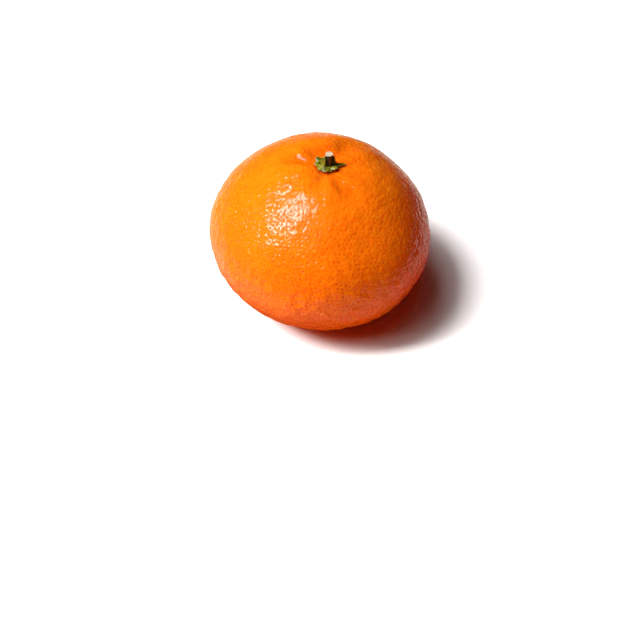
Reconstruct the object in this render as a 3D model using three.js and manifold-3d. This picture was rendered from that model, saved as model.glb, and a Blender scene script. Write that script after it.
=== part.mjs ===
// A whole mandarin as picked: one solid fruit in its rind, the green calyx that sits in
// the basin at its stem end, and the cut stub of the stem.
// Millimetres, +Z up towards the stem end. The fruit rests on z = 0.
import * as THREE from "three";
import { mergeVertices } from "three/addons/utils/BufferGeometryUtils.js";
import Module from "manifold-3d";

const wasm = await Module();
wasm.setup();

const RAD = Math.PI / 180;

// ---- Fruit: driving dimensions ----------------------------------------------------------
const EQUATOR_RADIUS = 33.6;
const HALF_HEIGHT = 26.5;
const STEM_END_LIFT = 3.4; // the stem end is this much further from the middle, the base nearer
const SHOULDER_SLOPE = 0.052; // how much the upper shoulders fall away from an ellipsoid
const BASE_FULLNESS = 0.022; // how much the lower shoulders swell past it
const BELT = 0.005; // a slight extra girth at the equator
const LEAN = { x: 0.045, y: 0.004 }; // sideways shift of the stem end, per mm of height

// Plan of the fruit seen from above: a few broad lobes, as shares of the radius.
const PLAN_LOBES = [
  { count: 2, share: 0.03, toward: 127 },
  { count: 3, share: 0.003, toward: 72 },
  { count: 5, share: 0.0025, toward: 35 },
];

// The sunken basin round the stem, and the shallow navel at the blossom end.
const STEM_AXIS = { x: 1.8, y: 0.1 }; // where the stem stands, from the middle of the fruit
const BASIN_DEPTH = 3.4;
const BASIN_RADIUS = 7.0;
const NAVEL_DEPTH = 0.9;
const NAVEL_RADIUS = 2.6;
const REST_CUT = 0.5; // what the flat resting spot takes off the base

// Furrows that run out of the basin between the segments: direction in degrees from +X,
// depth, half width near the stem, and the distance from the stem where they are deepest.
const FURROWS = [
  { toward: 17, depth: 1.1, width: 1.5, peak: 9.0 },
  { toward: 59, depth: 2.3, width: 1.9, peak: 9.5 },
  { toward: 94, depth: 0.8, width: 1.2, peak: 7.0 },
  { toward: 122, depth: 1.3, width: 1.3, peak: 6.5 },
  { toward: 163, depth: 1.6, width: 1.0, peak: 8.5 },
  { toward: 220, depth: 0.2, width: 0.3, peak: 11.0 },
  { toward: 255, depth: 0.9, width: 1.2, peak: 6.5 },
  { toward: 300, depth: 1.6, width: 1.5, peak: 8.5 },
  { toward: 340, depth: 0.9, width: 1.4, peak: 8.0 },
];
const FURROW_SPREAD = 0.16; // a furrow widens by this much per mm from the stem

// Slow unevenness of the whole surface: sine waves across it, wave numbers in radians per mm.
const SWELLS = [
  { height: 0.16, wave: [0.19, 0.11, -0.13], phase: 0.6 },
  { height: 0.13, wave: [-0.14, 0.22, 0.17], phase: 2.1 },
  { height: 0.09, wave: [0.27, -0.24, 0.21], phase: 4.4 },
];

// Oil-gland pits, larger than life: one at every third point of the triangulated rind.
const RIND_SPLITS = 21; // each edge of the icosahedron is split in this many, a multiple of 3
const PIT_DEPTH = 0.2;
const PIT_VARIATION = 0.4; // share by which a pit's depth may fall short
const STEM_END_CROWDING = 0.35; // how much closer the points stand at the stem end

// ---- Calyx and stem: driving dimensions ---------------------------------------------------
const SOCKET_RADIUS = 2.25; // the round seat in the fruit that the calyx grows from
const SOCKET_DEPTH = 0.6;
const HUB_RADIUS = 2.1;
const HUB_TOP = 1.0; // above the bottom of the basin
const SEPAL_ROOT_HEIGHT = 0.5;
const BLADE_TAPER = 0.1; // share of its width that a blade loses towards its tip
const STEM_TOP = 4.7; // above the bottom of the basin
const STEM_TOP_RADIUS = 1.08;
const STEM_BASE_RADIUS = 1.4;
const STEM_LEAN = -0.05; // sideways, towards +X, from its foot to the cut
const STEM_FOOT = { x: 0.9, y: 0.2 }; // from the centre of the calyx
const STEM_FOOT_FLARE = 0.15;
const STEM_CLEARANCE = 0.3; // between the stem's side and the calyx round it

// Sepals lie out over the basin; bracts stand up round the stem.
const SEPALS = [
  { toward: 176, length: 2.9, width: 2.4, thickness: 0.85, rise: 9, hook: 0.1, root: 0.7 },
  { toward: 222, length: 2.4, width: 2.3, thickness: 0.8, rise: 2, hook: 0.0, root: 0.7 },
  { toward: 266, length: 2.5, width: 2.8, thickness: 0.95, rise: 4, hook: -0.1, root: 0.6 },
  { toward: 299, length: 2.4, width: 2.3, thickness: 0.7, rise: -7, hook: 0.0, root: 0.6 },
  { toward: 332, length: 3.0, width: 2.4, thickness: 0.9, rise: 4, hook: 0.1, root: 0.8 },
  { toward: 6, length: 5.2, width: 1.5, thickness: 0.75, rise: -4, hook: 0.1, root: 0.8 },
  { toward: 48, length: 2.8, width: 2.4, thickness: 0.8, rise: 1, hook: 0.1, root: 0.7 },
  { toward: 94, length: 2.8, width: 2.6, thickness: 0.8, rise: 2, hook: 0.1, root: 0.7 },
  { toward: 142, length: 3.1, width: 2.3, thickness: 0.8, rise: 25, hook: -0.2, root: 0.9 },
];
const BRACTS = [
  { toward: 225, length: 3.8, width: 1.9, thickness: 0.8, rise: 95, hook: 0.0, root: 1.15 },
  { toward: 10, length: 3.2, width: 1.6, thickness: 0.8, rise: 98, hook: 0.0, root: 2.75 },
];

// ---- Solids -------------------------------------------------------------------------------
function closedGeometry(geometry) {
  const bare = geometry.clone();
  bare.deleteAttribute("normal");
  bare.deleteAttribute("uv");
  return mergeVertices(bare, 1e-4);
}

function toSolid(geometry) {
  const closed = closedGeometry(geometry);
  const mesh = new wasm.Mesh({
    numProp: 3,
    vertProperties: closed.attributes.position.array,
    triVerts: new Uint32Array(closed.index.array),
  });
  return new wasm.Manifold(mesh);
}

function toGeometry(solid) {
  const { vertProperties, triVerts } = solid.getMesh();
  const geometry = new THREE.BufferGeometry();
  geometry.setAttribute("position", new THREE.BufferAttribute(vertProperties, 3));
  geometry.setIndex(new THREE.BufferAttribute(triVerts, 1));
  return geometry;
}

// Moves every vertex of a geometry by a function of its place.
function reshape(geometry, move) {
  const positions = geometry.attributes.position;
  const point = new THREE.Vector3();
  for (let i = 0; i < positions.count; i++) {
    point.fromBufferAttribute(positions, i);
    move(point, i);
    positions.setXYZ(i, point.x, point.y, point.z);
  }
  return geometry;
}

// ---- The form of the fruit ------------------------------------------------------------------
// The smooth body in the direction of polar angle psi (0 at the stem end) and azimuth theta.
function bodyPoint(psi, theta) {
  const across = Math.sin(psi);
  const up = Math.cos(psi);
  const height = HALF_HEIGHT + STEM_END_LIFT * up;
  let radius = 1 / Math.hypot(across / EQUATOR_RADIUS, up / height);
  const shoulder = Math.sin(2 * psi) ** 2;
  radius *= 1 - SHOULDER_SLOPE * shoulder * ((1 + up) / 2) ** 2
    + BASE_FULLNESS * shoulder * ((1 - up) / 2) ** 2;
  let plan = BELT * across ** 8;
  for (const lobe of PLAN_LOBES) {
    plan += lobe.share * across ** 2 * Math.cos(lobe.count * (theta - lobe.toward * RAD));
  }
  radius *= 1 + plan;
  const z = radius * up;
  return new THREE.Vector3(
    radius * across * Math.cos(theta) + LEAN.x * z,
    radius * across * Math.sin(theta) + LEAN.y * z,
    z,
  );
}

// How deep the furrows are at a place given from the stem's axis.
function furrowDepth(x, y) {
  const distance = Math.hypot(x, y);
  const azimuth = Math.atan2(y, x);
  let depth = 0;
  for (const furrow of FURROWS) {
    const turn = azimuth - furrow.toward * RAD;
    if (Math.cos(turn) <= 0) continue;
    const aside = distance * Math.sin(turn) / (furrow.width + FURROW_SPREAD * distance);
    const along = (distance / furrow.peak) ** 2;
    depth += furrow.depth * Math.exp(-aside * aside) * along * Math.exp(1 - along);
  }
  return depth;
}

function swellHeight(point) {
  let height = 0;
  for (const { height: crest, wave, phase } of SWELLS) {
    height += crest * Math.sin(wave[0] * point.x + wave[1] * point.y + wave[2] * point.z + phase);
  }
  return height;
}

const restLevel = -(HALF_HEIGHT - STEM_END_LIFT) + REST_CUT;
const baseAxis = { x: LEAN.x * restLevel, y: LEAN.y * restLevel };

// The rind without its pits, measured from the resting surface.
function rindPoint(psi, theta) {
  const point = bodyPoint(psi, theta);
  const outward = point.clone().normalize();
  point.addScaledVector(outward, swellHeight(point) * Math.sin(psi));
  if (point.z > 0) {
    const x = point.x - STEM_AXIS.x;
    const y = point.y - STEM_AXIS.y;
    point.z -= BASIN_DEPTH * Math.exp(-(x * x + y * y) / BASIN_RADIUS ** 2) + furrowDepth(x, y);
    return point.setZ(point.z - restLevel);
  }
  const fromNavel = Math.hypot(point.x - baseAxis.x, point.y - baseAxis.y) / NAVEL_RADIUS;
  const navel = NAVEL_DEPTH * Math.exp(-(fromNavel ** 4));
  return point.setZ(Math.max(point.z, restLevel) - restLevel + navel);
}

// The bottom of the basin: the body's pole lies within half a millimetre of the stem's axis.
const basinFloor = rindPoint(0, 0).z;

// The points of the triangulated sphere that carry a pit: on each face of the icosahedron,
// those whose first two steps from the corners differ by a multiple of three.
function isPit(direction, corners) {
  const weights = new THREE.Vector3();
  for (let face = 0; face < corners.length; face += 3) {
    const axes = new THREE.Matrix3().set(
      corners[face].x, corners[face + 1].x, corners[face + 2].x,
      corners[face].y, corners[face + 1].y, corners[face + 2].y,
      corners[face].z, corners[face + 1].z, corners[face + 2].z,
    );
    weights.copy(direction).applyMatrix3(axes.invert());
    if (Math.min(weights.x, weights.y, weights.z) < -1e-5) continue;
    weights.multiplyScalar(RIND_SPLITS / (weights.x + weights.y + weights.z));
    return (Math.round(weights.x) - Math.round(weights.y)) % 3 === 0;
  }
  return false;
}

function icosahedronCorners() {
  const positions = new THREE.IcosahedronGeometry(1, 0).attributes.position;
  const corners = [];
  for (let i = 0; i < positions.count; i++) {
    corners.push(new THREE.Vector3().fromBufferAttribute(positions, i));
  }
  return corners;
}

function rindGeometry() {
  const corners = icosahedronCorners();
  const sphere = closedGeometry(new THREE.IcosahedronGeometry(1, RIND_SPLITS - 1));
  return reshape(sphere, (point, i) => {
    const pitted = isPit(point, corners);
    const psi = Math.acos(THREE.MathUtils.clamp(point.z, -1, 1));
    const theta = Math.atan2(point.y, point.x);
    const crowded = psi - STEM_END_CROWDING * Math.sin(psi) * (1 + Math.cos(psi)) / 2;
    point.copy(rindPoint(crowded, theta));
    const middle = new THREE.Vector3(0, 0, -restLevel);
    const outward = point.clone().sub(middle).normalize();
    const clearOfBase = THREE.MathUtils.smoothstep(point.z, 0.4, 1.5);
    const shallower = PIT_VARIATION * (0.5 + 0.5 * Math.sin(i * 12.9898));
    if (pitted) point.addScaledVector(outward, -PIT_DEPTH * (1 - shallower) * clearOfBase);
  });
}

// A round socket at the bottom of the basin, where the calyx sits.
function fruitGeometry() {
  const cutterHeight = 12;
  const cutter = new THREE.CylinderGeometry(SOCKET_RADIUS, SOCKET_RADIUS, cutterHeight, 24);
  cutter.rotateX(Math.PI / 2);
  cutter.translate(STEM_AXIS.x, STEM_AXIS.y, basinFloor - SOCKET_DEPTH + cutterHeight / 2);
  return toGeometry(toSolid(rindGeometry()).subtract(toSolid(cutter)));
}

// ---- Calyx -------------------------------------------------------------------------------
// One sepal or bract: a thick blade, broad at its root and rounded at its tip, creased along
// its middle, that rises by an angle and hooks up or down at the tip.
function bladeGeometry({ toward, length, width, thickness, rise, hook, root }) {
  const blade = new THREE.SphereGeometry(1, 12, 9);
  blade.rotateZ(Math.PI / 2);
  reshape(blade, (point) => {
    const along = (point.x + 1) / 2;
    const aside = point.y;
    point.x = along * length;
    point.y *= (width / 2) * (1 - BLADE_TAPER * along * along);
    const crease = 0.16 * Math.exp(-((aside / 0.22) ** 2)) * along;
    const over = point.z > 0 ? 1 - crease / thickness : 1;
    point.z = point.z * (thickness / 2) * (1 - 0.35 * along) * over;
    point.z += hook * along * along - 0.14 * aside * aside;
  });
  blade.rotateY(-rise * RAD);
  blade.translate(root, 0, SEPAL_ROOT_HEIGHT);
  blade.rotateZ(toward * RAD);
  return blade;
}

// ---- Stem --------------------------------------------------------------------------------
// Standing on z = 0, with its girth grown all round by a margin.
function stemGeometry(margin) {
  const length = STEM_TOP - HUB_TOP;
  const stem = new THREE.CylinderGeometry(1, 1, length, 24, 8);
  stem.rotateX(Math.PI / 2);
  stem.translate(0, 0, length / 2);
  reshape(stem, (point) => {
    const along = point.z / length;
    const azimuth = Math.atan2(point.y, point.x);
    const flare = STEM_FOOT_FLARE * (1 - along) ** 4 + 0.05 * along ** 12;
    const ribs = 1 + 0.05 * Math.cos(3 * azimuth + 0.8) + 0.03 * Math.cos(5 * azimuth);
    const girth = THREE.MathUtils.lerp(STEM_BASE_RADIUS, STEM_TOP_RADIUS, along) + flare + margin;
    point.x = point.x * girth * ribs + STEM_LEAN * along;
    point.y = point.y * girth * ribs;
  });
  return closedGeometry(stem);
}

// The receptacle with its sepals and bracts in one body, cut clear of the stem that stands on it.
function calyxGeometry() {
  const hubHeight = HUB_TOP + SOCKET_DEPTH;
  const hub = new THREE.CylinderGeometry(HUB_RADIUS, HUB_RADIUS, hubHeight, 24);
  hub.rotateX(Math.PI / 2);
  hub.translate(0, 0, HUB_TOP - hubHeight / 2);
  const roomForStem = stemGeometry(STEM_CLEARANCE);
  roomForStem.translate(STEM_FOOT.x, STEM_FOOT.y, HUB_TOP);
  let calyx = toSolid(hub);
  for (const blade of [...SEPALS, ...BRACTS]) {
    calyx = calyx.add(toSolid(bladeGeometry(blade)));
  }
  return toGeometry(calyx.subtract(toSolid(roomForStem)));
}

// ---- The object -----------------------------------------------------------------------------
const rind = new THREE.MeshStandardMaterial({ color: 0xf47d0c, roughness: 0.38, metalness: 0 });
const green = new THREE.MeshStandardMaterial({ color: 0x4f6b14, roughness: 0.45, metalness: 0 });
const bark = new THREE.MeshStandardMaterial({ color: 0x5b4a2a, roughness: 0.7, metalness: 0 });

function piece(name, geometry, material) {
  const mesh = new THREE.Mesh(geometry, material);
  mesh.name = name;
  return mesh;
}

const mandarin = new THREE.Group();
const fruit = piece("fruit", fruitGeometry(), rind);
const calyx = piece("calyx", calyxGeometry(), green);
const stem = piece("stem", stemGeometry(0), bark);
calyx.position.set(STEM_AXIS.x, STEM_AXIS.y, basinFloor);
stem.position.set(STEM_AXIS.x + STEM_FOOT.x, STEM_AXIS.y + STEM_FOOT.y, basinFloor + HUB_TOP);
mandarin.add(fruit, calyx, stem);

// The origin is on the resting surface, under the middle of the fruit's bounding box.
const middle = new THREE.Box3().setFromObject(fruit).getCenter(new THREE.Vector3());
mandarin.position.set(-middle.x, -middle.y, 0);
mandarin.updateMatrixWorld(true);

export default mandarin;
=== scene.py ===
# %% [markdown]
# # A whole mandarin
#
# A mandarin is one grown body: a loose, glossy peel dotted with oil glands, a sunken basin at
# the stem end with furrows running out of it, a small green calyx in the basin and the cut stub
# of the stem. The construction model already has these three pieces at their real size. Here
# each one is modelled again with a much finer surface, and given its finish.

# %% Load the construction model
import math

import bpy
import numpy as np
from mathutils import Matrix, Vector
from mathutils.bvhtree import BVHTree


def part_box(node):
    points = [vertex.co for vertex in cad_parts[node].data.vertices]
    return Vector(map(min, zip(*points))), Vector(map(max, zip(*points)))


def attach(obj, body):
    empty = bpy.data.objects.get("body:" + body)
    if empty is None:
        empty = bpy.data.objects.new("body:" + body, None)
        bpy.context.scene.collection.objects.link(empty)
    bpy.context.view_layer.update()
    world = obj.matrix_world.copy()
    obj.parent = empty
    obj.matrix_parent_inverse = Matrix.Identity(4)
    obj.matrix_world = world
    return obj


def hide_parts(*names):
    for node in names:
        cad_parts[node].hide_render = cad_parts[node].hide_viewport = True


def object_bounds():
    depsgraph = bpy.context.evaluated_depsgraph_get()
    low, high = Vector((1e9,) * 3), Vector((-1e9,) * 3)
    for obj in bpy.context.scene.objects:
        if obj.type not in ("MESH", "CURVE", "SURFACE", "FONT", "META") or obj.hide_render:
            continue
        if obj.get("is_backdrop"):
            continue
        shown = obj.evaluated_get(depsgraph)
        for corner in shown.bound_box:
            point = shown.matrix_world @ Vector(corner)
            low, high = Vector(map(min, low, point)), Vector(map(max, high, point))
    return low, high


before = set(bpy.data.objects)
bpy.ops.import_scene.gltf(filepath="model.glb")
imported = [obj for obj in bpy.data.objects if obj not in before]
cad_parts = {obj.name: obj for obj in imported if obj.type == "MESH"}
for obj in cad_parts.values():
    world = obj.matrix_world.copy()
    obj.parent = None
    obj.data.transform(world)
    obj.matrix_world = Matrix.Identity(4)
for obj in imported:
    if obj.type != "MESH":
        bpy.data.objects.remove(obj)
cad_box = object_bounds()
MM = 0.001
print("construction model, mm:", [[round(v / MM, 2) for v in corner] for corner in cad_box])

# %% [markdown]
# ## Small tools
#
# Operators act on whatever is selected, so every step first deselects everything and then
# selects the one piece it works on. Organic forms are easiest to give as a rule for where each
# vertex goes, so one helper reads all vertices as an array in millimetres, and one writes them
# back. A value stored for each vertex lets a material follow the surface later.


# %% Helpers for selecting, naming and moving
def select_only(*pieces):
    bpy.ops.object.select_all(action="DESELECT")
    for piece in pieces:
        piece.select_set(True)
    bpy.context.view_layer.objects.active = pieces[0]


def name_new_piece(name):
    piece = bpy.context.active_object
    piece.name = name
    piece.data.name = name
    return piece


def vertices_mm(piece):
    flat = np.empty(len(piece.data.vertices) * 3)
    piece.data.vertices.foreach_get("co", flat)
    return flat.reshape(-1, 3) / MM


def place_vertices(piece, points_mm):
    piece.data.vertices.foreach_set("co", (points_mm * MM).ravel())
    piece.data.update()


def store_point_values(piece, name, values):
    made = piece.data.attributes.new(name, "FLOAT", "POINT")
    made.data.foreach_set("value", values)


def apply_modifiers(piece):
    select_only(piece)
    for modifier in list(piece.modifiers):
        bpy.ops.object.modifier_apply(modifier=modifier.name)


def turned(points, axis, degrees):
    """The points turned about the y or z axis through the origin."""
    first, second = {"y": (2, 0), "z": (0, 1)}[axis]
    cosine, sine = math.cos(math.radians(degrees)), math.sin(math.radians(degrees))
    result = points.copy()
    result[:, first] = cosine * points[:, first] - sine * points[:, second]
    result[:, second] = sine * points[:, first] + cosine * points[:, second]
    return result


def report_piece(piece):
    size = [round(v / MM, 2) for v in piece.dimensions]
    print(f"{piece.name}: {len(piece.data.polygons)} faces, {size} mm")


# %% [markdown]
# ## The form of the fruit
#
# The body is close to a flattened sphere, so it is described in polar angles: `psi` runs from 0
# at the stem end to pi at the base, and `theta` goes round. The rule starts from an ellipsoid,
# lets the shoulders fall away, adds broad lobes in plan and slow swells, and then sinks the
# basin and the furrows. These are the same named sizes as in the construction model, so the
# fine surface lies on the solid.

# %% Driving sizes of the body, in millimetres and degrees
EQUATOR_RADIUS = 33.6
HALF_HEIGHT = 26.5
STEM_END_LIFT = 3.4  # the half towards the stem is this much taller, the other this much lower
SHOULDER_SLOPE = 0.052  # share of the radius that the shoulders fall away
BASE_FULLNESS = 0.022  # share of the radius that the lower half swells out
BELT = 0.005
LEAN = np.array([0.045, 0.004])  # shift in x and y for each millimetre of height
PLAN_LOBES = [
    dict(count=2, share=0.03, toward=127),
    dict(count=3, share=0.003, toward=72),
    dict(count=5, share=0.0025, toward=35),
]
SWELLS = [  # wave is in radians for each millimetre in x, y and z
    dict(height=0.16, wave=[0.19, 0.11, -0.13], phase=0.6),
    dict(height=0.13, wave=[-0.14, 0.22, 0.17], phase=2.1),
    dict(height=0.09, wave=[0.27, -0.24, 0.21], phase=4.4),
]
REST_CUT = 0.5
REST_LEVEL = -(HALF_HEIGHT - STEM_END_LIFT) + REST_CUT
NAVEL_DEPTH = 0.9
NAVEL_RADIUS = 2.6

# %% Driving sizes of the basin and its furrows
STEM_AXIS = np.array([1.8, 0.1])
BASIN_DEPTH = 3.4
BASIN_RADIUS = 7.0
FURROWS = [  # peak is the distance from the stem at which a furrow is deepest
    dict(toward=17, depth=1.1, width=1.5, peak=9.0),
    dict(toward=59, depth=2.3, width=1.9, peak=9.5),
    dict(toward=94, depth=0.8, width=1.2, peak=7.0),
    dict(toward=122, depth=1.3, width=1.3, peak=6.5),
    dict(toward=163, depth=1.6, width=1.0, peak=8.5),
    dict(toward=220, depth=0.2, width=0.3, peak=11.0),
    dict(toward=255, depth=0.9, width=1.2, peak=6.5),
    dict(toward=300, depth=1.6, width=1.5, peak=8.5),
    dict(toward=340, depth=0.9, width=1.4, peak=8.0),
]
FURROW_SPREAD = 0.16  # a furrow widens this much for each millimetre outwards


# %% The rule for a point of the rind
def body_points(psi, theta):
    across, up = np.sin(psi), np.cos(psi)
    height = HALF_HEIGHT + STEM_END_LIFT * up
    radius = 1 / np.hypot(across / EQUATOR_RADIUS, up / height)
    shoulder = np.sin(2 * psi) ** 2
    radius *= (
        1
        - SHOULDER_SLOPE * shoulder * ((1 + up) / 2) ** 2
        + BASE_FULLNESS * shoulder * ((1 - up) / 2) ** 2
    )
    plan = BELT * across**8
    for lobe in PLAN_LOBES:
        turn = theta - math.radians(lobe["toward"])
        plan = plan + lobe["share"] * across**2 * np.cos(lobe["count"] * turn)
    radius *= 1 + plan
    z = radius * up
    x = radius * across * np.cos(theta) + LEAN[0] * z
    y = radius * across * np.sin(theta) + LEAN[1] * z
    return np.column_stack([x, y, z])


def swell_height(points):
    return sum(s["height"] * np.sin(points @ s["wave"] + s["phase"]) for s in SWELLS)


def furrow_depth(x, y):
    distance = np.hypot(x, y)
    azimuth = np.arctan2(y, x)
    depth = np.zeros_like(distance)
    for furrow in FURROWS:
        turn = azimuth - math.radians(furrow["toward"])
        aside = distance * np.sin(turn) / (furrow["width"] + FURROW_SPREAD * distance)
        along = (distance / furrow["peak"]) ** 2
        one = furrow["depth"] * np.exp(-(aside**2)) * along * np.exp(1 - along)
        depth += np.where(np.cos(turn) > 0, one, 0)
    return depth


def rind_points(psi, theta):
    """The peel's points, with the resting surface at height 0."""
    points = body_points(psi, theta)
    outward = points / np.linalg.norm(points, axis=1, keepdims=True)
    points = points + outward * (swell_height(points) * np.sin(psi))[:, None]
    x, y = (points[:, :2] - STEM_AXIS).T
    basin = BASIN_DEPTH * np.exp(-(x**2 + y**2) / BASIN_RADIUS**2) + furrow_depth(x, y)
    base_axis = LEAN * REST_LEVEL
    from_navel = np.linalg.norm(points[:, :2] - base_axis, axis=1) / NAVEL_RADIUS
    navel = NAVEL_DEPTH * np.exp(-(from_navel**4))
    upper = points[:, 2] - basin - REST_LEVEL
    lower = np.maximum(points[:, 2], REST_LEVEL) - REST_LEVEL + navel
    points[:, 2] = np.where(points[:, 2] > 0, upper, lower)
    return points


# %% [markdown]
# ## The rind's mesh
#
# A UV sphere bunches its faces at the poles, exactly where the basin and its furrows need even
# ones. A cube subdivided and blown up to a sphere has six equal patches and no poles. Bending
# the cube's grid by a tangent first makes the faces nearly the same size everywhere.


# %% A ball of even faces, from a subdivided cube
def add_even_ball(name, *passes_of_cuts):
    """A new piece, and for each of its vertices the direction from the ball's middle."""
    bpy.ops.object.select_all(action="DESELECT")
    bpy.ops.mesh.primitive_cube_add(size=2)
    ball = name_new_piece(name)
    bpy.ops.object.mode_set(mode="EDIT")
    for cuts in passes_of_cuts:
        bpy.ops.mesh.select_all(action="SELECT")
        bpy.ops.mesh.subdivide(number_cuts=cuts)
    bpy.ops.object.mode_set(mode="OBJECT")
    direction = np.tan(vertices_mm(ball) * MM * math.pi / 4)
    return ball, direction / np.linalg.norm(direction, axis=1, keepdims=True)


# %% Blow the ball up into the fruit
rind, direction = add_even_ball("rind", 7, 15)  # 8 x 16 = 128 faces along each cube edge
polar = np.arccos(np.clip(direction[:, 2], -1, 1))
azimuth = np.arctan2(direction[:, 1], direction[:, 0])
points = rind_points(polar, azimuth)
cad_low, cad_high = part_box("fruit")
own_middle = (points.min(0) + points.max(0)) / 2
AXIS_SHIFT = np.array(cad_low + cad_high)[:2] / 2 / MM - own_middle[:2]
in_upper_half = points[:, 2] > HALF_HEIGHT
in_furrow = furrow_depth(*(points[:, :2] - STEM_AXIS).T) * in_upper_half
store_point_values(rind, "in_furrow", in_furrow)
points[:, :2] += AXIS_SHIFT
place_vertices(rind, points)
select_only(rind)
bpy.ops.object.shade_smooth()
CALYX_FOOT = np.append(STEM_AXIS + AXIS_SHIFT, rind_points(np.zeros(1), np.zeros(1))[0, 2])
print("rind:", len(rind.data.polygons), "faces; middle moved by", AXIS_SHIFT.round(3), "mm")
print("the calyx stands at", CALYX_FOOT.round(2), "mm")


# %% Measure how far the smooth rind lies from the construction solid
def largest_gap_mm(piece, node):
    tree = BVHTree.FromObject(piece, bpy.context.evaluated_depsgraph_get())
    gaps = [tree.find_nearest(v.co)[3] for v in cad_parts[node].data.vertices]
    return max(gaps) / MM


print("largest gap to the solid:", round(largest_gap_mm(rind, "fruit"), 2), "mm")


# %% [markdown]
# ## Node helpers
#
# Geometry Nodes and materials are both built from nodes, so a few short helpers serve both. A
# helper takes either a number or another node's output, and returns its own output, so that
# calls can be nested like ordinary sums.


# %% Helpers for adding and linking nodes
def add_node(tree, kind, **settings):
    made = tree.nodes.new(kind)
    for name, value in settings.items():
        setattr(made, name, value)
    return made


def feed(tree, value, socket):
    if isinstance(value, bpy.types.NodeSocket):
        tree.links.new(value, socket)
    else:
        socket.default_value = value


def add_math(tree, operation, *values):
    made = add_node(tree, "ShaderNodeMath", operation=operation)
    for value, socket in zip(values, made.inputs):
        feed(tree, value, socket)
    return made.outputs[0]


def add_vector_math(tree, operation, *values):
    made = add_node(tree, "ShaderNodeVectorMath", operation=operation)
    for value, socket in zip(values, made.inputs):
        feed(tree, value, socket)
    gives_number = operation in ("DISTANCE", "LENGTH", "DOT_PRODUCT")
    return made.outputs["Value" if gives_number else "Vector"]


def add_height(tree, place):
    split = add_node(tree, "ShaderNodeSeparateXYZ")
    feed(tree, place, split.inputs[0])
    return split.outputs["Z"]


def add_range(tree, value, low, high, to_low=0.0, to_high=1.0):
    """A smooth step: to_low where the value is low or less, to_high where it is high or more."""
    made = add_node(tree, "ShaderNodeMapRange", interpolation_type="SMOOTHSTEP")
    sizes = {"From Min": low, "From Max": high, "To Min": to_low, "To Max": to_high}
    for name, number in sizes.items():
        made.inputs[name].default_value = number
    feed(tree, value, made.inputs["Value"])
    return made.outputs["Result"]


def add_noise(tree, place, length, detail=2.0):
    """Noise from 0 to 1 whose lumps are about one length across."""
    made = add_node(tree, "ShaderNodeTexNoise")
    feed(tree, 1 / length, made.inputs["Scale"])
    feed(tree, detail, made.inputs["Detail"])
    feed(tree, place, made.inputs["Vector"])
    return made.outputs[0]


def add_mix(tree, share, first, second):
    made = add_node(tree, "ShaderNodeMix", data_type="RGBA")
    colours = [socket for socket in made.inputs if socket.type == "RGBA"]
    feed(tree, share, made.inputs[0])
    feed(tree, first, colours[0])
    feed(tree, second, colours[1])
    return next(socket for socket in made.outputs if socket.type == "RGBA")


def add_bump(tree, height, depth=1.0):
    """The normal of a surface raised by the height, given in metres or as a share of the depth."""
    made = add_node(tree, "ShaderNodeBump")
    feed(tree, depth, made.inputs["Distance"])
    feed(tree, height, made.inputs["Height"])
    return made.outputs["Normal"]


# %% [markdown]
# ## Oil glands
#
# The peel is full of round oil glands, each with a shallow dimple over it, about one and a half
# millimetres from the next. Geometry Nodes scatters them by Poisson disk sampling, which keeps
# a least distance between any two, just as glands do. Every face then remembers the place of
# its nearest gland. The mesh takes the broad hollow of each dimple from that, and the material
# draws the fine pit and its darker dot round the very same points. The same nodes then raise the
# low lumps and ripples that every peel has, from noise.

# %% Sizes of the glands and of the peel's unevenness
GLAND_DISTANCE = 1.2 * MM  # the least distance between two glands
POINTS_TRIED = 30  # for each square of that distance, so that no room is left for one more
GLAND_SEED = 7
GLAND_SIZES = {"Min": 0.3, "Max": 1.0}  # as shares of the largest
HOLLOW_RADIUS = 0.65 * MM
HOLLOW_DEPTH = 0.06 * MM
LUMP_LENGTH = 6.0 * MM
LUMP_HEIGHT = 0.22 * MM
RIPPLE_LENGTH = 3.0 * MM
RIPPLE_HEIGHT = 0.55 * MM
LOWER_BETWEEN = (26 * MM, 38 * MM)  # the ripples grow lower upwards between these levels
LOWER_SHARE = 0.4
SMOOTH_BETWEEN = (0.1 * MM, 1.6 * MM)  # all relief fades down to the level where the fruit rests


# %% Scatter the glands over the peel
def store_on_faces(tree, geometry, name, data_type, value):
    made = add_node(tree, "GeometryNodeStoreNamedAttribute", data_type=data_type, domain="FACE")
    feed(tree, name, made.inputs["Name"])
    feed(tree, geometry, made.inputs["Geometry"])
    feed(tree, value, made.inputs["Value"])
    return made.outputs[0]


glands = bpy.data.node_groups.new("oil_glands", "GeometryNodeTree")
glands.interface.new_socket("Geometry", in_out="INPUT", socket_type="NodeSocketGeometry")
glands.interface.new_socket("Geometry", in_out="OUTPUT", socket_type="NodeSocketGeometry")
skin_in = add_node(glands, "NodeGroupInput").outputs[0]
place = add_node(glands, "GeometryNodeInputPosition").outputs[0]
scatter = add_node(glands, "GeometryNodeDistributePointsOnFaces", distribute_method="POISSON")
feed(glands, skin_in, scatter.inputs["Mesh"])
feed(glands, GLAND_DISTANCE, scatter.inputs["Distance Min"])
feed(glands, POINTS_TRIED / GLAND_DISTANCE**2, scatter.inputs["Density Max"])
feed(glands, GLAND_SEED, scatter.inputs["Seed"])

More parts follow.
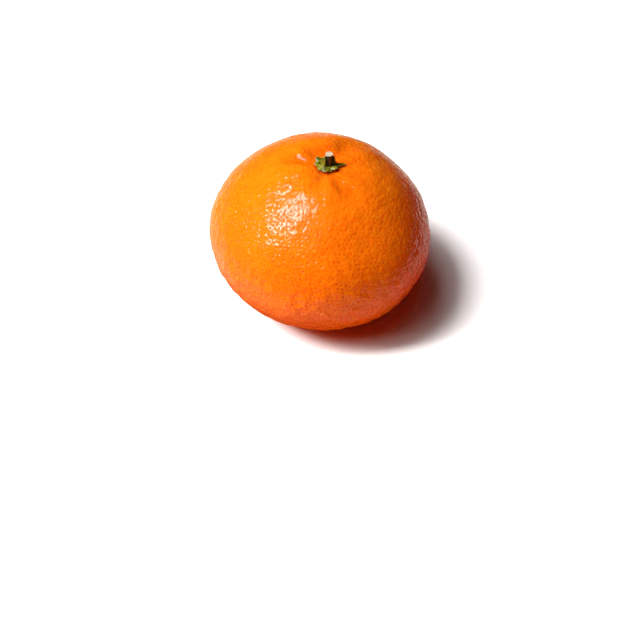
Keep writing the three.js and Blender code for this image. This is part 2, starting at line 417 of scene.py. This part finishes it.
# %% Tell every face where its nearest gland is, and how large
nearest = add_node(glands, "GeometryNodeSampleNearest", domain="POINT")
feed(glands, scatter.outputs["Points"], nearest.inputs["Geometry"])
gland = add_node(glands, "GeometryNodeSampleIndex", data_type="FLOAT_VECTOR", domain="POINT")
feed(glands, scatter.outputs["Points"], gland.inputs["Geometry"])
feed(glands, place, gland.inputs["Value"])
feed(glands, nearest.outputs["Index"], gland.inputs["Index"])
any_size = add_node(glands, "FunctionNodeRandomValue", data_type="FLOAT")
for socket in any_size.inputs:
    if socket.type == "VALUE" and socket.name in GLAND_SIZES:
        socket.default_value = GLAND_SIZES[socket.name]
feed(glands, nearest.outputs["Index"], any_size.inputs["ID"])
size = next(socket for socket in any_size.outputs if socket.type == "VALUE" and socket.enabled)
marked = store_on_faces(glands, skin_in, "gland_place", "FLOAT_VECTOR", gland.outputs[0])
marked = store_on_faces(glands, marked, "gland_size", "FLOAT", size)

# %% Sink the hollows, raise the lumps and ripples, and move the skin by their sum
distance = add_vector_math(glands, "DISTANCE", place, gland.outputs[0])
hollow = add_range(glands, distance, 0, HOLLOW_RADIUS, -HOLLOW_DEPTH, 0)
relief = add_math(glands, "MULTIPLY", hollow, size)
level = add_height(glands, place)
ripple_height = add_range(
    glands, level, *LOWER_BETWEEN, RIPPLE_HEIGHT, RIPPLE_HEIGHT * LOWER_SHARE
)
for length, height in ((LUMP_LENGTH, LUMP_HEIGHT), (RIPPLE_LENGTH, ripple_height)):
    swell = add_math(glands, "SUBTRACT", add_noise(glands, place, length, 0), 0.5)
    relief = add_math(glands, "MULTIPLY_ADD", swell, height, relief)
relief = add_math(glands, "MULTIPLY", relief, add_range(glands, level, *SMOOTH_BETWEEN))
outward = add_node(glands, "ShaderNodeVectorMath", operation="SCALE")
feed(glands, add_node(glands, "GeometryNodeInputNormal").outputs[0], outward.inputs[0])
feed(glands, relief, outward.inputs["Scale"])
mover = add_node(glands, "GeometryNodeSetPosition")
feed(glands, marked, mover.inputs["Geometry"])
feed(glands, outward.outputs[0], mover.inputs["Offset"])
feed(glands, mover.outputs[0], add_node(glands, "NodeGroupOutput").inputs[0])
print("oil_glands:", len(glands.nodes), "nodes")

# %% Apply it to the rind
rind.modifiers.new("oil_glands", "NODES").node_group = glands
apply_modifiers(rind)
places = np.empty(len(rind.data.polygons) * 3)
rind.data.attributes["gland_place"].data.foreach_get("vector", places)
print("glands:", len(np.unique(places.reshape(-1, 3), axis=0)))
print("largest gap to the solid now:", round(largest_gap_mm(rind, "fruit"), 2), "mm")
report_piece(rind)


# %% [markdown]
# ## A shared effect: grown tone
#
# Nothing that grew has one flat colour. The peel, the calyx and the stem all drift slowly between
# two tones and carry a finer grain on top. That is one shader node group with named inputs, made
# once and placed in each material with its own lengths and colours. It puts out the grain as
# well, so that a bump can follow it.

# %% The group "grown_tone"
PATCH_EDGES = (0.3, 0.7)  # noise below the first is all dark, above the second all light
grown_tone = bpy.data.node_groups.new("grown_tone", "ShaderNodeTree")
for name, kind in {
    "Place": "NodeSocketVector",
    "Patch Length": "NodeSocketFloat",
    "Grain Length": "NodeSocketFloat",
    "Grain Share": "NodeSocketFloat",
    "Dark": "NodeSocketColor",
    "Light": "NodeSocketColor",
}.items():
    grown_tone.interface.new_socket(name, in_out="INPUT", socket_type=kind)
grown_tone.interface.new_socket("Colour", in_out="OUTPUT", socket_type="NodeSocketColor")
grown_tone.interface.new_socket("Relief", in_out="OUTPUT", socket_type="NodeSocketFloat")
given = add_node(grown_tone, "NodeGroupInput").outputs
waves = []
for length in (given["Patch Length"], given["Grain Length"]):
    wave = add_node(grown_tone, "ShaderNodeTexNoise")
    feed(grown_tone, given["Place"], wave.inputs["Vector"])
    feed(grown_tone, add_math(grown_tone, "DIVIDE", 1.0, length), wave.inputs["Scale"])
    waves.append(wave.outputs[0])
patches, grain = waves
share = add_node(grown_tone, "ShaderNodeMath", operation="MULTIPLY_ADD", use_clamp=True)
feed(grown_tone, add_math(grown_tone, "SUBTRACT", grain, 0.5), share.inputs[0])
feed(grown_tone, given["Grain Share"], share.inputs[1])
feed(grown_tone, add_range(grown_tone, patches, *PATCH_EDGES), share.inputs[2])
tone = add_mix(grown_tone, share.outputs[0], given["Dark"], given["Light"])
results = add_node(grown_tone, "NodeGroupOutput").inputs
feed(grown_tone, tone, results["Colour"])
feed(grown_tone, grain, results["Relief"])
print("grown_tone:", len(grown_tone.nodes), "nodes")


# %% Helpers for starting and placing a finish
def add_grown_tone(tree, place, **inputs):
    """The group placed in a material: its colour, and the grain as a relief."""
    made = add_node(tree, "ShaderNodeGroup", node_tree=grown_tone)
    feed(tree, place, made.inputs["Place"])
    for name, value in inputs.items():
        feed(tree, value, made.inputs[name.replace("_", " ").title()])
    return made.outputs["Colour"], made.outputs["Relief"]


def new_finish(name):
    """A material, its node tree, its Principled shader, and the place of a point on its piece."""
    finish = bpy.data.materials.new(name)
    finish.use_nodes = True
    tree = finish.node_tree
    place = add_node(tree, "ShaderNodeTexCoord").outputs["Object"]
    return finish, tree, tree.nodes["Principled BSDF"], place


def set_finish(piece, finish):
    piece.data.materials.clear()
    piece.data.materials.append(finish)
    print(f"{piece.name} has the finish {finish.name}: {len(finish.node_tree.nodes)} nodes")


def add_attribute(tree, name, output="Fac"):
    return add_node(tree, "ShaderNodeAttribute", attribute_name=name).outputs[output]


# %% [markdown]
# ## The peel's finish
#
# Ripe peel is a saturated orange that drifts from patch to patch, and it is darker red over each
# gland. Painted shade is mixed into the colour on top of that: darker and redder on the side away
# from the lamps, low down, in the furrows and round the calyx in the basin, each layer with a mask
# of its own. Light goes a little way into peel and comes out redder, so the shader scatters it
# below the surface. The skin is a thin glossy wax. The pits over the glands and a fine ripple break
# its gloss into many small patches, which is what makes citrus peel look like citrus peel. Both are
# too fine for the mesh to carry well, so they are a bump.

# %% The peel's colours and where they lie
PEEL_DARK = (0.73, 0.148, 0.0018, 1)
PEEL_LIGHT = (0.76, 0.168, 0.0022, 1)
SHADED_SIDE_COLOUR = (0.58, 0.038, 0.001, 1)
SHADE_SIDE_DIRECTION = (0.97, 0.1, -0.2)  # the direction of the side away from the lamps, which gets painted shade
SHADED_SIDE_BETWEEN = (6 * MM, 30 * MM)  # the painted shade comes in between these distances that way
LOW_SHADE_COLOUR = (0.54, 0.075, 0.001, 1)
LOW_SHADE_BETWEEN = (8 * MM, 24 * MM)  # painted shade deepens the peel downwards between these levels
LOW_SHADE_SHARE = 0.75
FURROW_SHADE_COLOUR = (0.56, 0.060, 0.001, 1)
FURROW_SHADE_DEPTHS = (0.15, 1.3)  # millimetres of furrow depth over which the painted shade deepens
FURROW_SHADE_SHARE = 0.35
GLAND_COLOUR = (0.58, 0.075, 0.001, 1)
DOT_EDGE = (0.1 * MM, 0.42 * MM)  # a dot fades out between these distances from its gland
DOTS_FADE = (26 * MM, 42 * MM)  # the dots are fainter above these levels
DOTS_ON_TOP = 0.35
CALYX_SHADE_COLOUR = (0.50, 0.035, 0.001, 1)
CALYX_SHADE_EDGE = (3.3 * MM, 4.4 * MM)  # the painted shade round the calyx fades out between these distances from the stem
CALYX_SHADE_SHARE = 0.7

# %% Paint shade into the ground tone: on the side away from the lamps, low down and in the furrows
rind_finish, tree, skin, place = new_finish("waxy_peel")
level = add_height(tree, place)
tone, _ = add_grown_tone(
    tree,
    place,
    patch_length=11 * MM,
    grain_length=0.4 * MM,
    grain_share=0.4,
    dark=PEEL_DARK,
    light=PEEL_LIGHT,
)
# Painted shade: darker and redder on the side turned away from the lamps.
side_shade = add_range(tree, add_vector_math(tree, "DOT_PRODUCT", place, SHADE_SIDE_DIRECTION), *SHADED_SIDE_BETWEEN)
tone = add_mix(tree, side_shade, tone, SHADED_SIDE_COLOUR)
# Painted shade: darker and redder towards the bottom.
low = add_range(tree, level, *LOW_SHADE_BETWEEN, LOW_SHADE_SHARE, 0.0)
tone = add_mix(tree, low, tone, LOW_SHADE_COLOUR)
# Painted shade: darker and redder in the furrows.
furrow = add_range(tree, add_attribute(tree, "in_furrow"), *FURROW_SHADE_DEPTHS, 0.0, FURROW_SHADE_SHARE)
tone = add_mix(tree, furrow, tone, FURROW_SHADE_COLOUR)

# %% The pits and ripples of the wax
PIT_RADIUS = 0.5 * MM
PIT_DEPTH = 0.17 * MM
PITS_FADE = (41 * MM, 47 * MM)  # pits and dots are fainter above these levels
PITS_ON_TOP = 0.5
WAX_RIPPLES = [(1.5 * MM, 0.25 * MM), (0.5 * MM, 0.04 * MM)]  # length and height
ROUGHER_BETWEEN = (22 * MM, 34 * MM)  # the ripples grow higher downwards between these levels
ROUGHER_BELOW = 1.6
plain_top = add_range(tree, level, *PITS_FADE, 1.0, PITS_ON_TOP)
gland_strength = add_math(tree, "MULTIPLY", add_attribute(tree, "gland_size"), plain_top)
gland_place = add_attribute(tree, "gland_place", "Vector")
distance = add_vector_math(tree, "DISTANCE", place, gland_place)
pit = add_range(tree, distance, 0, PIT_RADIUS, -PIT_DEPTH, 0.0)
wax = add_math(tree, "MULTIPLY", pit, gland_strength)
for length, height in WAX_RIPPLES:
    ripple = add_range(tree, level, *ROUGHER_BETWEEN, height * ROUGHER_BELOW, height)
    wax = add_math(tree, "MULTIPLY_ADD", add_noise(tree, place, length, 0), ripple, wax)
feed(tree, add_bump(tree, wax), skin.inputs["Normal"])

# %% Darken the glands' dots, and paint shade round the calyx in the basin
dots = add_math(tree, "MULTIPLY", add_range(tree, distance, *DOT_EDGE, 1.0, 0.0), gland_strength)
dots = add_math(tree, "MULTIPLY", dots, add_range(tree, level, *DOTS_FADE, 1.0, DOTS_ON_TOP))
tone = add_mix(tree, dots, tone, GLAND_COLOUR)
# Painted shade: a dark red ring on the peel round the calyx's foot.
from_calyx = add_vector_math(tree, "DISTANCE", place, tuple(CALYX_FOOT * MM))
tone = add_mix(tree, add_range(tree, from_calyx, *CALYX_SHADE_EDGE, CALYX_SHADE_SHARE, 0.0), tone, CALYX_SHADE_COLOUR)
feed(tree, tone, skin.inputs["Base Color"])

# %% The peel's gloss and how light scatters in it
WAX_ROUGHNESS = 0.07
WAX_IOR = 1.30
SCATTER_REACH = (1.0, 0.4, 0.15)  # red light goes furthest in, blue light least
SCATTER_SCALE = 3.2 * MM
feed(tree, WAX_ROUGHNESS, skin.inputs["Roughness"])
feed(tree, WAX_IOR, skin.inputs["IOR"])
feed(tree, 1.0, skin.inputs["Subsurface Weight"])
feed(tree, SCATTER_REACH, skin.inputs["Subsurface Radius"])
feed(tree, SCATTER_SCALE, skin.inputs["Subsurface Scale"])
set_finish(rind, rind_finish)
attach(rind, "root")
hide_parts("fruit")

# %% [markdown]
# ## The calyx
#
# The calyx is the small green star that once held the flower: nine fleshy sepals round a disc,
# one of them long and narrow, and two bracts that stand up against the stem. Each is a thick
# blade with a crease along its middle, so each starts as the even ball, pressed flat, tapered,
# hooked and turned into place. A voxel remesh then melts the blades and the disc into one closed
# skin with softly rounded corners, as growth does. The remesh has a smallest voxel of a tenth of
# a millimetre, so the calyx is modelled a thousand times larger and brought to its size
# afterwards.

# %% Sizes of the calyx, in millimetres and degrees
HUB_RADIUS = 2.1
HUB_TOP = 1.0
HUB_BOTTOM = -0.5
SEPAL_ROOT_HEIGHT = 0.5
BLADE_TAPER = 0.1  # share of its width that a blade loses towards its tip
BLADE_THINNING = 0.35  # share of its thickness that it loses
BLADE_DROOP = 0.14  # how far the margins lie below the middle
CREASE_DEPTH = 0.16
CREASE_WIDTH = 0.22  # as a share of half the blade
VEIN_HEIGHT = 0.035
VEINS = 5  # ridges across a blade
MARGIN_WAVE = 0.07
MARGIN_TURNS = 9  # radians of that wave from root to tip
BLADES = [
    dict(toward=176, length=2.9, width=2.4, thickness=0.85, rise=9, hook=0.1, root=0.7),
    dict(toward=222, length=2.4, width=2.3, thickness=0.8, rise=2, hook=0.0, root=0.7),
    dict(toward=266, length=2.5, width=2.8, thickness=0.95, rise=4, hook=-0.1, root=0.6),
    dict(toward=299, length=2.4, width=2.3, thickness=0.7, rise=-7, hook=0.0, root=0.6),
    dict(toward=332, length=3.0, width=2.4, thickness=0.9, rise=4, hook=0.1, root=0.8),
    dict(toward=6, length=5.2, width=1.5, thickness=0.75, rise=-4, hook=0.1, root=0.8),
    dict(toward=48, length=2.8, width=2.4, thickness=0.8, rise=1, hook=0.1, root=0.7),
    dict(toward=94, length=2.8, width=2.6, thickness=0.8, rise=2, hook=0.1, root=0.7),
    dict(toward=142, length=3.1, width=2.3, thickness=0.8, rise=25, hook=-0.2, root=0.9),
    dict(toward=225, length=3.8, width=1.9, thickness=0.8, rise=95, hook=0.0, root=1.15),
    dict(toward=10, length=3.2, width=1.6, thickness=0.8, rise=98, hook=0.0, root=2.75),
]


# %% The rule for a blade
def blade_points(ball, toward, length, width, thickness, rise, hook, root):
    """A ball's directions shaped into a blade, from its root to its place in the calyx."""
    along = (ball[:, 0] + 1) / 2
    aside = ball[:, 1]
    taper = 1 - BLADE_TAPER * along**2
    thinning = 1 - BLADE_THINNING * along
    crease = CREASE_DEPTH * np.exp(-((aside / CREASE_WIDTH) ** 2)) * along
    veins = VEIN_HEIGHT * np.cos(VEINS * math.pi * aside) * np.sin(math.pi * along)
    wave = MARGIN_WAVE * aside**2 * np.sin(MARGIN_TURNS * along + toward)
    top = np.where(ball[:, 2] > 0, 1 - (crease - veins) / thickness, 1)
    points = np.column_stack([
        along * length,
        aside * (width / 2) * taper,
        ball[:, 2] * (thickness / 2) * thinning * top,
    ])
    points[:, 2] += hook * along**2 - BLADE_DROOP * aside**2 + wave
    points = turned(points, "y", -rise) + [root, 0, SEPAL_ROOT_HEIGHT]
    return turned(points, "z", toward)


# %% Model the blades and the disc
LARGER = 1 / MM  # the calyx is modelled with one unit for each millimetre
DISC_SIDES = 48
calyx_pieces = []
for number, blade in enumerate(BLADES):
    piece, ball = add_even_ball(f"blade_{number}", 3, 5)
    place_vertices(piece, blade_points(ball, **blade) * LARGER)
    store_point_values(piece, "along_blade", (ball[:, 0] + 1) / 2)
    calyx_pieces.append(piece)
hub_height = HUB_TOP - HUB_BOTTOM
bpy.ops.object.select_all(action="DESELECT")
bpy.ops.mesh.primitive_cylinder_add(
    vertices=DISC_SIDES,
    radius=HUB_RADIUS,
    depth=hub_height,
    location=(0, 0, HUB_TOP - hub_height / 2),
)
calyx_pieces.append(name_new_piece("disc"))
bpy.ops.object.transform_apply()

# %% Melt them into one skin
VOXEL = 0.075
SMOOTHING = 0.5
SMOOTHING_PASSES = 2
select_only(*calyx_pieces)
bpy.ops.object.join()
sepals = name_new_piece("sepals")
sepals.data.remesh_voxel_size = VOXEL
sepals.data.use_remesh_preserve_attributes = True
bpy.ops.object.voxel_remesh()
smooth = sepals.modifiers.new("smooth", "SMOOTH")
smooth.factor = SMOOTHING
smooth.iterations = SMOOTHING_PASSES
apply_modifiers(sepals)
place_vertices(sepals, vertices_mm(sepals) / LARGER + CALYX_FOOT)
bpy.ops.object.shade_smooth()
report_piece(sepals)

# %% [markdown]
# ## The calyx's finish
#
# The calyx is a fleshy olive green with a gloss of its own. It yellows towards the tips, which dry
# first, and it is nearly black green in places. The remesh kept each blade's own measure from root
# to tip, so a mask can follow it. Fine bumps, much like small glands, break the gloss.

# %% The calyx's material
SEPAL_DARK = (0.035, 0.046, 0.001, 1)
SEPAL_LIGHT = (0.20, 0.18, 0.007, 1)
SEPAL_TIP = (0.26, 0.26, 0.10, 1)
TIP_BETWEEN = (0.86, 1.0)  # as shares of the blade's length
TIP_SHARE = 0.6
SEPAL_RELIEF = 0.05 * MM
SEPAL_ROUGHNESS = 0.3
sepal_finish, tree, skin, place = new_finish("olive_calyx")
tone, relief = add_grown_tone(
    tree,
    place,
    patch_length=1.4 * MM,
    grain_length=0.35 * MM,
    grain_share=1.2,
    dark=SEPAL_DARK,
    light=SEPAL_LIGHT,
)
tip = add_range(tree, add_attribute(tree, "along_blade"), *TIP_BETWEEN, 0.0, TIP_SHARE)
feed(tree, add_mix(tree, tip, tone, SEPAL_TIP), skin.inputs["Base Color"])
feed(tree, SEPAL_ROUGHNESS, skin.inputs["Roughness"])
feed(tree, add_bump(tree, relief, SEPAL_RELIEF), skin.inputs["Normal"])
set_finish(sepals, sepal_finish)
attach(sepals, "root")
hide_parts("calyx")

# %% [markdown]
# ## The stem
#
# What is left of the stem is a short woody stub, cut straight across with a blade. It is ribbed,
# stands a little off the calyx's middle and flares at its foot. A circle is extruded upwards step
# by step for the sides, and the cut is inset ring by ring, so that it has rings of vertices for
# its dished face. Then every vertex is placed by a rule.

# %% Sizes of the stem, in millimetres
STEM_TOP = 4.7
STEM_BASE_RADIUS = 1.4
STEM_TOP_RADIUS = 1.08
STEM_LEAN = -0.05
STEM_FOOT = np.array([0.9, 0.2])
STEM_FOOT_FLARE = 0.15
STEM_CUT_FLARE = 0.05
STEM_RIBS = [  # height is a share of the radius
    dict(count=3, height=0.05, phase=0.8),
    dict(count=5, height=0.03, phase=0.0),
]
BARK_LINE = 0.03
CUT_DISH = 0.1
CUT_BEVEL = 0.05
CUT_RING_HEIGHT = 0.02
CUT_RING_TURNS = 26  # radians of the year rings' wave from the pith to the rim
RIM = 0.99  # vertices beyond this share of the radius are on the rim or the bark
stem_length = STEM_TOP - HUB_TOP

# %% Extrude the sides and inset the cut
STEM_SIDES = 120
STEM_STEPS = 40
CUT_RINGS = 12
bpy.ops.object.select_all(action="DESELECT")
bpy.ops.mesh.primitive_circle_add(vertices=STEM_SIDES, radius=1, fill_type="NGON")
stem = name_new_piece("stem_stub")
bpy.ops.object.mode_set(mode="EDIT")
bpy.ops.mesh.select_all(action="SELECT")
for _ in range(STEM_STEPS):
    bpy.ops.mesh.extrude_region_move(
        TRANSFORM_OT_translate={"value": (0, 0, stem_length / STEM_STEPS)}
    )
for _ in range(CUT_RINGS):
    bpy.ops.mesh.inset(thickness=1 / (CUT_RINGS + 1))
bpy.ops.mesh.select_all(action="SELECT")
bpy.ops.mesh.normals_make_consistent(inside=False)
bpy.ops.object.mode_set(mode="OBJECT")


# %% The rule for a point of the stem
def bark_lines(turn, height):
    """Two sets of fine lines round the stem that wander as they climb."""
    wandering = np.cos(23 * turn + 2 * np.sin(1.7 * height))
    slanting = np.cos(37 * turn + height)
    return wandering + 0.6 * slanting


def stem_points(unit):
    share = np.hypot(unit[:, 0], unit[:, 1])
    turn = np.arctan2(unit[:, 1], unit[:, 0])
    along = unit[:, 2] / stem_length
    flare = STEM_FOOT_FLARE * (1 - along) ** 4 + STEM_CUT_FLARE * along**12
    girth = STEM_BASE_RADIUS + (STEM_TOP_RADIUS - STEM_BASE_RADIUS) * along + flare
    ribs = 1
    for rib in STEM_RIBS:
        ribs = ribs + rib["height"] * np.cos(rib["count"] * turn + rib["phase"])
    lines = BARK_LINE * bark_lines(turn, unit[:, 2]) * np.sin(math.pi * along) ** 2
    girth = girth * ribs + lines * (share > RIM)
    x = unit[:, 0] * girth + STEM_LEAN * along
    y = unit[:, 1] * girth
    rings = CUT_RING_HEIGHT * np.cos(CUT_RING_TURNS * share)
    sunk = CUT_DISH * (1 - share**2) + CUT_BEVEL * share**12 + rings
    return np.column_stack([x, y, unit[:, 2] - np.where(along > 0.999, sunk, 0)])


# %% Place the stem's points
unit_points = vertices_mm(stem) * MM
off_axis = np.hypot(unit_points[:, 0], unit_points[:, 1])
at_top = unit_points[:, 2] > stem_length - 1e-4
store_point_values(stem, "off_pith", off_axis)
store_point_values(stem, "on_cut", (at_top & (off_axis < RIM)).astype(float))
stem_foot = CALYX_FOOT + np.append(STEM_FOOT, HUB_TOP)
place_vertices(stem, stem_points(unit_points) + stem_foot)
select_only(stem)
bpy.ops.object.shade_smooth_by_angle(angle=math.radians(40))
report_piece(stem)

# %% [markdown]
# ## The stem's finish
#
# The bark is a dark olive brown with lengthwise streaks, a few of them rusty. Streaks are the same
# noise as patches, read from places that are squeezed in height, so that it is drawn out upwards.
# The cut is pale wood: cream at the rim, with a ring of small tan vessels round the pith.

# %% The bark
BARK_DARK = (0.006, 0.007, 0.0004, 1)
BARK_LIGHT = (0.032, 0.031, 0.003, 1)
BARK_RUST = (0.16, 0.040, 0.015, 1)
BARK_SQUEEZE = (1, 1, 0.18)
RUST_LENGTH = 0.9 * MM
RUST_EDGE = (0.60, 0.68)
BARK_RELIEF = 0.06 * MM
STEM_ROUGHNESS = 0.6
stem_finish, tree, skin, place = new_finish("cut_stem")
streaks = add_vector_math(tree, "MULTIPLY", place, BARK_SQUEEZE)
bark, bark_relief = add_grown_tone(
    tree,
    streaks,
    patch_length=0.5 * MM,
    grain_length=0.16 * MM,
    grain_share=1.0,
    dark=BARK_DARK,
    light=BARK_LIGHT,
)
rust = add_range(tree, add_noise(tree, streaks, RUST_LENGTH), *RUST_EDGE)
bark = add_mix(tree, rust, bark, BARK_RUST)

# %% The cut wood
WOOD_DARK = (0.40, 0.31, 0.18, 1)
WOOD_LIGHT = (0.56, 0.49, 0.37, 1)
VESSEL_COLOUR = (0.26, 0.18, 0.10, 1)
VESSEL_LENGTH = 0.3 * MM
VESSEL_EDGE = (0.5, 0.62)
VESSELS_FROM = (0.2, 0.35)  # the ring of vessels, as shares of the radius
VESSELS_TO = (0.6, 0.75)
wood, _ = add_grown_tone(
    tree,
    place,
    patch_length=0.6 * MM,
    grain_length=0.2 * MM,
    grain_share=1.0,
    dark=WOOD_DARK,
    light=WOOD_LIGHT,
)
off_pith = add_attribute(tree, "off_pith")
outside_pith = add_range(tree, off_pith, *VESSELS_FROM)
inside_rim = add_range(tree, off_pith, *VESSELS_TO, 1.0, 0.0)
vessel_ring = add_math(tree, "MULTIPLY", outside_pith, inside_rim)
vessels = add_range(tree, add_noise(tree, place, VESSEL_LENGTH, 1), *VESSEL_EDGE)
wood = add_mix(tree, add_math(tree, "MULTIPLY", vessel_ring, vessels), wood, VESSEL_COLOUR)

# %% Bark on the sides, wood on the cut
CUT_EDGE = (0.2, 0.6)
cut_share = add_range(tree, add_attribute(tree, "on_cut"), *CUT_EDGE)
feed(tree, add_mix(tree, cut_share, bark, wood), skin.inputs["Base Color"])
feed(tree, STEM_ROUGHNESS, skin.inputs["Roughness"])
feed(tree, add_bump(tree, bark_relief, BARK_RELIEF), skin.inputs["Normal"])
set_finish(stem, stem_finish)
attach(stem, "root")
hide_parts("stem")

# %% [markdown]
# ## Floor and light
#
# A pale table fills the view. A tall softbox stands high on the left and is mirrored in the peel.
# A second, larger one, which the gloss doesn't see, softens the shadow's edge. The table gives each
# kind of ray a tone of its own. The eye sees it nearly white, with a painted red glow and painted
# contact shadow close to the shaded side of the fruit, which stand in for light that comes out
# through the peel. What it throws back on the fruit is warm. In the gloss it carries a painted dark
# red shade below the fruit, is pale round it and dark far away, as in a room with one lamp. The
# room itself gives almost no light, but is white where the eye looks past the table.

# %% The table's tones
TABLE_SIZE = 12.0
TABLE_COLOUR = (1.25, 1.24, 1.22, 1)
# painted red glow and contact shadow on the table, close to the fruit's shaded side
PAINTED_TABLE_GLOW = (1.3, 0.50, 0.28, 1)
PAINTED_GLOW_MIDDLE = (0.008, 0, 0)
PAINTED_GLOW_BETWEEN = (0.0215, 0.027)  # the painted glow and contact shadow fade out between these distances from their middle
TABLE_AS_BOUNCE = (0.88, 0.48, 0.19, 1)
TABLE_IN_GLOSS = (0.54, 0.45, 0.37, 1)
# painted dark red shade below the fruit, seen only in the gloss
PAINTED_GLOSS_SHADE = (0.22, 0.07, 0.02, 1)
PAINTED_GLOSS_SHADE_BETWEEN = (0.032, 0.045)
AWAY_IN_GLOSS = (0.02, 0.02, 0.02, 1)
AWAY_BETWEEN = (0.10, 0.14)
TABLE_ROUGHNESS = 0.8
TABLE_SHINE = 0.2

# %% Table
bpy.ops.object.select_all(action="DESELECT")
bpy.ops.mesh.primitive_plane_add(size=TABLE_SIZE)
floor = name_new_piece("floor")
floor_finish, tree, table_top, place = new_finish("white_table")
ray = add_node(tree, "ShaderNodeLightPath").outputs
# Painted glow and contact shadow near the fruit's shaded side, seen by the eye
from_painted_glow = add_vector_math(tree, "DISTANCE", place, PAINTED_GLOW_MIDDLE)
tone = add_mix(tree, add_range(tree, from_painted_glow, *PAINTED_GLOW_BETWEEN), PAINTED_TABLE_GLOW, TABLE_COLOUR)
tone = add_mix(tree, ray["Is Diffuse Ray"], tone, TABLE_AS_BOUNCE)
from_fruit = add_vector_math(tree, "LENGTH", place)
# Painted shade below the fruit, seen only in the gloss
clear_of_gloss_shade = add_range(tree, from_fruit, *PAINTED_GLOSS_SHADE_BETWEEN)
in_gloss = add_mix(tree, clear_of_gloss_shade, PAINTED_GLOSS_SHADE, TABLE_IN_GLOSS)
in_gloss = add_mix(tree, add_range(tree, from_fruit, *AWAY_BETWEEN), in_gloss, AWAY_IN_GLOSS)
tone = add_mix(tree, ray["Is Glossy Ray"], tone, in_gloss)
feed(tree, tone, table_top.inputs["Base Color"])
feed(tree, TABLE_ROUGHNESS, table_top.inputs["Roughness"])
feed(tree, TABLE_SHINE, table_top.inputs["Specular IOR Level"])
set_finish(floor, floor_finish)
floor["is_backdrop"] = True

# %% Room
ROOM_STRENGTH = 0.01
BACKDROP_STRENGTH = 1.0
room = bpy.data.worlds.new("studio")
bpy.context.scene.world = room
room.use_nodes = True
tree = room.node_tree
wall = tree.nodes["Background"]
seen = add_node(tree, "ShaderNodeLightPath").outputs["Is Camera Ray"]
strength = add_range(tree, seen, 0, 1, ROOM_STRENGTH, BACKDROP_STRENGTH)
feed(tree, strength, wall.inputs["Strength"])
feed(tree, (1, 1, 1, 1), wall.inputs["Color"])
print("room: strength", ROOM_STRENGTH, "as light,", BACKDROP_STRENGTH, "to the eye")

# %% Softboxes, in degrees, metres and watts
SOFTBOXES = {
    "softbox_mirrored": dict(
        azimuth=-171, elevation=52, distance=2.4, size=(0.7, 1.6), power=112, in_gloss=True
    ),
    "softbox_hidden": dict(
        azimuth=180, elevation=56, distance=2.5, size=(2.6, 2.6), power=42, in_gloss=False
    ),
}
FRUIT_MIDDLE = Vector((*AXIS_SHIFT, -REST_LEVEL)) * MM


def toward(azimuth, elevation):
    """The direction that lies this many degrees round and up."""
    round_by, up_by = math.radians(azimuth), math.radians(elevation)
    flat = math.cos(up_by)
    return Vector((flat * math.cos(round_by), flat * math.sin(round_by), math.sin(up_by)))


for name, box in SOFTBOXES.items():
    direction = toward(box["azimuth"], box["elevation"])
    bpy.ops.object.light_add(
        type="AREA",
        location=FRUIT_MIDDLE + direction * box["distance"],
        rotation=direction.to_track_quat("Z", "Y").to_euler(),
    )
    light = bpy.context.active_object
    light.name = name
    light.data.shape = "RECTANGLE"
    light.data.size, light.data.size_y = box["size"]
    light.data.energy = box["power"]
    light.visible_glossy = box["in_gloss"]
    print(f"{name}: {box['power']} W at", light.location.to_tuple(2), "m")

# %% [markdown]
# ## Camera
#
# The fruit is seen from the front, from well above its own height, through a long lens, so its
# outline is barely stretched. The camera looks a little below the fruit's middle, which leaves
# room in front of it.

# %% Camera
VIEW_AZIMUTH = -90
VIEW_ELEVATION = 44
VIEW_DISTANCE = 0.545
VIEW_LENS = 100
LOOK_BELOW = 2.8628  # degrees
bpy.ops.object.camera_add(
    location=FRUIT_MIDDLE + toward(VIEW_AZIMUTH, VIEW_ELEVATION) * VIEW_DISTANCE,
    rotation=(math.radians(90 - VIEW_ELEVATION - LOOK_BELOW), 0, 0),
)
camera = bpy.context.active_object
camera.data.lens = VIEW_LENS
bpy.context.scene.camera = camera
bpy.context.scene.view_settings.view_transform = "Standard"
print("camera at", camera.location.to_tuple(3), "m")

# %% Sizes
boxes = {"cad": cad_box, "visual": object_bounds()}
for name, box in boxes.items():
    print(f"{name} box, mm:", [[round(v / MM, 2) for v in corner] for corner in box])
